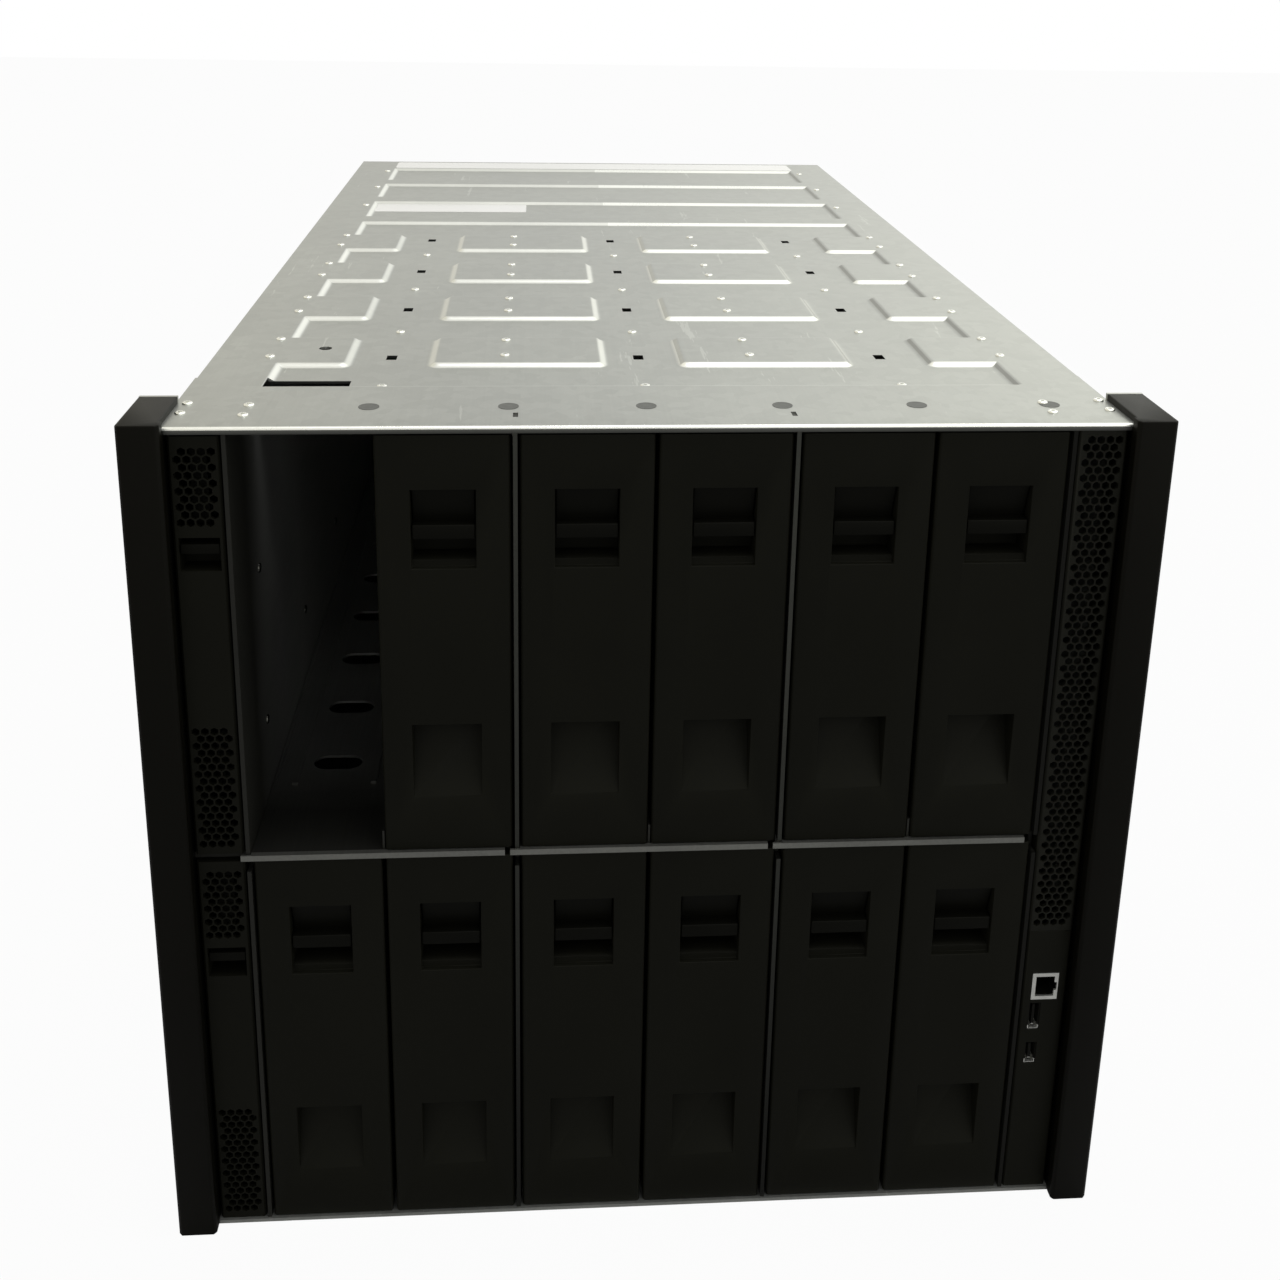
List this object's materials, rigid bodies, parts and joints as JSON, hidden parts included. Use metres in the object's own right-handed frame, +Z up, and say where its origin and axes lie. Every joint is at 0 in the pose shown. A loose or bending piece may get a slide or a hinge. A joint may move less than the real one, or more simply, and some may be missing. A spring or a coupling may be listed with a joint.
{
  "type": "blade server chassis",
  "caption": "Rack-mounted sheet-steel enclosure for blade servers: front bays closed by latching black blanks, a stamped top cover, rack ears, and rear fans and power supplies.",
  "frame": {"origin": "middle of the underside of the whole object, at the base pan's lower face", "axes": "+Z up, -Y the front with the bays, +X to the right for someone who faces the front"},
  "size_m": [0.4826, 0.84, 0.4437],
  "materials": {
    "sheet_steel": "satin galvanised sheet",
    "bay_steel": "satin galvanised sheet",
    "moulded_black": "fine matt texture",
    "ear_plastic": "fine matt texture",
    "jack_metal": "bright plated shell",
    "circuit_board": "solder mask",
    "fan_plastic": "matt",
    "supply_case": "satin",
    "filler_panel": "matt powder coat"
  },
  "bodies": {
    "case": {"base_pan": "sheet_steel", "side_wall_left": "sheet_steel", "side_wall_right": "sheet_steel", "top_cover": "sheet_steel", "front_top_rail": "sheet_steel", "bay_wall_left": "bay_steel", "divider_left": "bay_steel", "divider_right": "bay_steel", "bay_wall_right": "bay_steel", "rack_flanges": "sheet_steel", "ear_cover_left": "ear_plastic", "ear_cover_right": "ear_plastic", "side_grille": "moulded_black", "front_panel": "moulded_black", "panel_jacks": "jack_metal", "midplane_board": "circuit_board", "rear_cage": "sheet_steel", "cover_rivets": "bay_steel", "fan_housings": "fan_plastic", "power_supplies": "supply_case", "rear_bay_blanks": "filler_panel"},
    "bay_shelf_left": {"bay_shelf_left": "bay_steel"},
    "bay_shelf_centre": {"bay_shelf_centre": "bay_steel"},
    "bay_shelf_right": {"bay_shelf_right": "bay_steel"},
    "column_blank_upper": {"column_blank_upper": "moulded_black"},
    "column_latch_upper": {"column_latch_upper": "moulded_black"},
    "column_blank_lower": {"column_blank_lower": "moulded_black"},
    "column_latch_lower": {"column_latch_lower": "moulded_black"},
    "bay_blank_upper_2": {"bay_blank_upper_2": "moulded_black"},
    "blank_latch_upper_2": {"blank_latch_upper_2": "moulded_black"},
    "bay_blank_upper_3": {"bay_blank_upper_3": "moulded_black"},
    "blank_latch_upper_3": {"blank_latch_upper_3": "moulded_black"},
    "bay_blank_upper_4": {"bay_blank_upper_4": "moulded_black"},
    "blank_latch_upper_4": {"blank_latch_upper_4": "moulded_black"},
    "bay_blank_upper_5": {"bay_blank_upper_5": "moulded_black"},
    "blank_latch_upper_5": {"blank_latch_upper_5": "moulded_black"},
    "bay_blank_upper_6": {"bay_blank_upper_6": "moulded_black"},
    "blank_latch_upper_6": {"blank_latch_upper_6": "moulded_black"},
    "bay_blank_lower_1": {"bay_blank_lower_1": "moulded_black"},
    "blank_latch_lower_1": {"blank_latch_lower_1": "moulded_black"},
    "bay_blank_lower_2": {"bay_blank_lower_2": "moulded_black"},
    "blank_latch_lower_2": {"blank_latch_lower_2": "moulded_black"},
    "bay_blank_lower_3": {"bay_blank_lower_3": "moulded_black"},
    "blank_latch_lower_3": {"blank_latch_lower_3": "moulded_black"},
    "bay_blank_lower_4": {"bay_blank_lower_4": "moulded_black"},
    "blank_latch_lower_4": {"blank_latch_lower_4": "moulded_black"},
    "bay_blank_lower_5": {"bay_blank_lower_5": "moulded_black"},
    "blank_latch_lower_5": {"blank_latch_lower_5": "moulded_black"},
    "bay_blank_lower_6": {"bay_blank_lower_6": "moulded_black"},
    "blank_latch_lower_6": {"blank_latch_lower_6": "moulded_black"},
    "fan_rotor_1": {"fan_rotor_1": "fan_plastic"},
    "fan_rotor_2": {"fan_rotor_2": "fan_plastic"},
    "fan_rotor_3": {"fan_rotor_3": "fan_plastic"},
    "fan_rotor_4": {"fan_rotor_4": "fan_plastic"},
    "fan_rotor_5": {"fan_rotor_5": "fan_plastic"},
    "fan_rotor_6": {"fan_rotor_6": "fan_plastic"},
    "fan_rotor_7": {"fan_rotor_7": "fan_plastic"},
    "fan_rotor_8": {"fan_rotor_8": "fan_plastic"},
    "fan_rotor_9": {"fan_rotor_9": "fan_plastic"},
    "fan_rotor_10": {"fan_rotor_10": "fan_plastic"}
  },
  "joints": [
    {"name": "bay_shelf_left_slide", "type": "slide", "parent": "case", "child": "bay_shelf_left", "axis": [0, -1, 0], "range_m": [0, 0.12]},
    {"name": "bay_shelf_centre_slide", "type": "slide", "parent": "case", "child": "bay_shelf_centre", "axis": [0, -1, 0], "range_m": [0, 0.12]},
    {"name": "bay_shelf_right_slide", "type": "slide", "parent": "case", "child": "bay_shelf_right", "axis": [0, -1, 0], "range_m": [0, 0.12]},
    {"name": "column_blank_upper_slide", "type": "slide", "parent": "case", "child": "column_blank_upper", "axis": [0, -1, 0], "range_m": [0, 0.08]},
    {"name": "column_latch_upper_squeeze", "type": "slide", "parent": "column_blank_upper", "child": "column_latch_upper", "axis": [0, 0, -1], "range_m": [0, 0.0035], "stiffness_N_per_m": 400, "springref_m": -0.003},
    {"name": "column_blank_lower_slide", "type": "slide", "parent": "case", "child": "column_blank_lower", "axis": [0, -1, 0], "range_m": [0, 0.08]},
    {"name": "column_latch_lower_squeeze", "type": "slide", "parent": "column_blank_lower", "child": "column_latch_lower", "axis": [0, 0, -1], "range_m": [0, 0.0035], "stiffness_N_per_m": 400, "springref_m": -0.003},
    {"name": "bay_blank_upper_2_slide", "type": "slide", "parent": "case", "child": "bay_blank_upper_2", "axis": [0, -1, 0], "range_m": [0, 0.08]},
    {"name": "blank_latch_upper_2_squeeze", "type": "slide", "parent": "bay_blank_upper_2", "child": "blank_latch_upper_2", "axis": [0, 0, -1], "range_m": [0, 0.005], "stiffness_N_per_m": 400, "springref_m": -0.003},
    {"name": "bay_blank_upper_3_slide", "type": "slide", "parent": "case", "child": "bay_blank_upper_3", "axis": [0, -1, 0], "range_m": [0, 0.08]},
    {"name": "blank_latch_upper_3_squeeze", "type": "slide", "parent": "bay_blank_upper_3", "child": "blank_latch_upper_3", "axis": [0, 0, -1], "range_m": [0, 0.005], "stiffness_N_per_m": 400, "springref_m": -0.003},
    {"name": "bay_blank_upper_4_slide", "type": "slide", "parent": "case", "child": "bay_blank_upper_4", "axis": [0, -1, 0], "range_m": [0, 0.08]},
    {"name": "blank_latch_upper_4_squeeze", "type": "slide", "parent": "bay_blank_upper_4", "child": "blank_latch_upper_4", "axis": [0, 0, -1], "range_m": [0, 0.005], "stiffness_N_per_m": 400, "springref_m": -0.003},
    {"name": "bay_blank_upper_5_slide", "type": "slide", "parent": "case", "child": "bay_blank_upper_5", "axis": [0, -1, 0], "range_m": [0, 0.08]},
    {"name": "blank_latch_upper_5_squeeze", "type": "slide", "parent": "bay_blank_upper_5", "child": "blank_latch_upper_5", "axis": [0, 0, -1], "range_m": [0, 0.005], "stiffness_N_per_m": 400, "springref_m": -0.003},
    {"name": "bay_blank_upper_6_slide", "type": "slide", "parent": "case", "child": "bay_blank_upper_6", "axis": [0, -1, 0], "range_m": [0, 0.08]},
    {"name": "blank_latch_upper_6_squeeze", "type": "slide", "parent": "bay_blank_upper_6", "child": "blank_latch_upper_6", "axis": [0, 0, -1], "range_m": [0, 0.005], "stiffness_N_per_m": 400, "springref_m": -0.003},
    {"name": "bay_blank_lower_1_slide", "type": "slide", "parent": "case", "child": "bay_blank_lower_1", "axis": [0, -1, 0], "range_m": [0, 0.08]},
    {"name": "blank_latch_lower_1_squeeze", "type": "slide", "parent": "bay_blank_lower_1", "child": "blank_latch_lower_1", "axis": [0, 0, -1], "range_m": [0, 0.005], "stiffness_N_per_m": 400, "springref_m": -0.003},
    {"name": "bay_blank_lower_2_slide", "type": "slide", "parent": "case", "child": "bay_blank_lower_2", "axis": [0, -1, 0], "range_m": [0, 0.08]},
    {"name": "blank_latch_lower_2_squeeze", "type": "slide", "parent": "bay_blank_lower_2", "child": "blank_latch_lower_2", "axis": [0, 0, -1], "range_m": [0, 0.005], "stiffness_N_per_m": 400, "springref_m": -0.003},
    {"name": "bay_blank_lower_3_slide", "type": "slide", "parent": "case", "child": "bay_blank_lower_3", "axis": [0, -1, 0], "range_m": [0, 0.08]},
    {"name": "blank_latch_lower_3_squeeze", "type": "slide", "parent": "bay_blank_lower_3", "child": "blank_latch_lower_3", "axis": [0, 0, -1], "range_m": [0, 0.005], "stiffness_N_per_m": 400, "springref_m": -0.003},
    {"name": "bay_blank_lower_4_slide", "type": "slide", "parent": "case", "child": "bay_blank_lower_4", "axis": [0, -1, 0], "range_m": [0, 0.08]},
    {"name": "blank_latch_lower_4_squeeze", "type": "slide", "parent": "bay_blank_lower_4", "child": "blank_latch_lower_4", "axis": [0, 0, -1], "range_m": [0, 0.005], "stiffness_N_per_m": 400, "springref_m": -0.003},
    {"name": "bay_blank_lower_5_slide", "type": "slide", "parent": "case", "child": "bay_blank_lower_5", "axis": [0, -1, 0], "range_m": [0, 0.08]},
    {"name": "blank_latch_lower_5_squeeze", "type": "slide", "parent": "bay_blank_lower_5", "child": "blank_latch_lower_5", "axis": [0, 0, -1], "range_m": [0, 0.005], "stiffness_N_per_m": 400, "springref_m": -0.003},
    {"name": "bay_blank_lower_6_slide", "type": "slide", "parent": "case", "child": "bay_blank_lower_6", "axis": [0, -1, 0], "range_m": [0, 0.08]},
    {"name": "blank_latch_lower_6_squeeze", "type": "slide", "parent": "bay_blank_lower_6", "child": "blank_latch_lower_6", "axis": [0, 0, -1], "range_m": [0, 0.005], "stiffness_N_per_m": 400, "springref_m": -0.003},
    {"name": "fan_rotor_1_spin", "type": "hinge", "parent": "case", "child": "fan_rotor_1", "pos_m": [-0.1776, 0.4, 0.0822], "axis": [0, 1, 0], "continuous": true},
    {"name": "fan_rotor_2_spin", "type": "hinge", "parent": "case", "child": "fan_rotor_2", "pos_m": [-0.0888, 0.4, 0.0822], "axis": [0, 1, 0], "continuous": true},
    {"name": "fan_rotor_3_spin", "type": "hinge", "parent": "case", "child": "fan_rotor_3", "pos_m": [0, 0.4, 0.0822], "axis": [0, 1, 0], "continuous": true},
    {"name": "fan_rotor_4_spin", "type": "hinge", "parent": "case", "child": "fan_rotor_4", "pos_m": [0.0888, 0.4, 0.0822], "axis": [0, 1, 0], "continuous": true},
    {"name": "fan_rotor_5_spin", "type": "hinge", "parent": "case", "child": "fan_rotor_5", "pos_m": [0.1776, 0.4, 0.0822], "axis": [0, 1, 0], "continuous": true},
    {"name": "fan_rotor_6_spin", "type": "hinge", "parent": "case", "child": "fan_rotor_6", "pos_m": [-0.1776, 0.4, 0.3982], "axis": [0, 1, 0], "continuous": true},
    {"name": "fan_rotor_7_spin", "type": "hinge", "parent": "case", "child": "fan_rotor_7", "pos_m": [-0.0888, 0.4, 0.3982], "axis": [0, 1, 0], "continuous": true},
    {"name": "fan_rotor_8_spin", "type": "hinge", "parent": "case", "child": "fan_rotor_8", "pos_m": [0, 0.4, 0.3982], "axis": [0, 1, 0], "continuous": true},
    {"name": "fan_rotor_9_spin", "type": "hinge", "parent": "case", "child": "fan_rotor_9", "pos_m": [0.0888, 0.4, 0.3982], "axis": [0, 1, 0], "continuous": true},
    {"name": "fan_rotor_10_spin", "type": "hinge", "parent": "case", "child": "fan_rotor_10", "pos_m": [0.1776, 0.4, 0.3982], "axis": [0, 1, 0], "continuous": true}
  ]
}
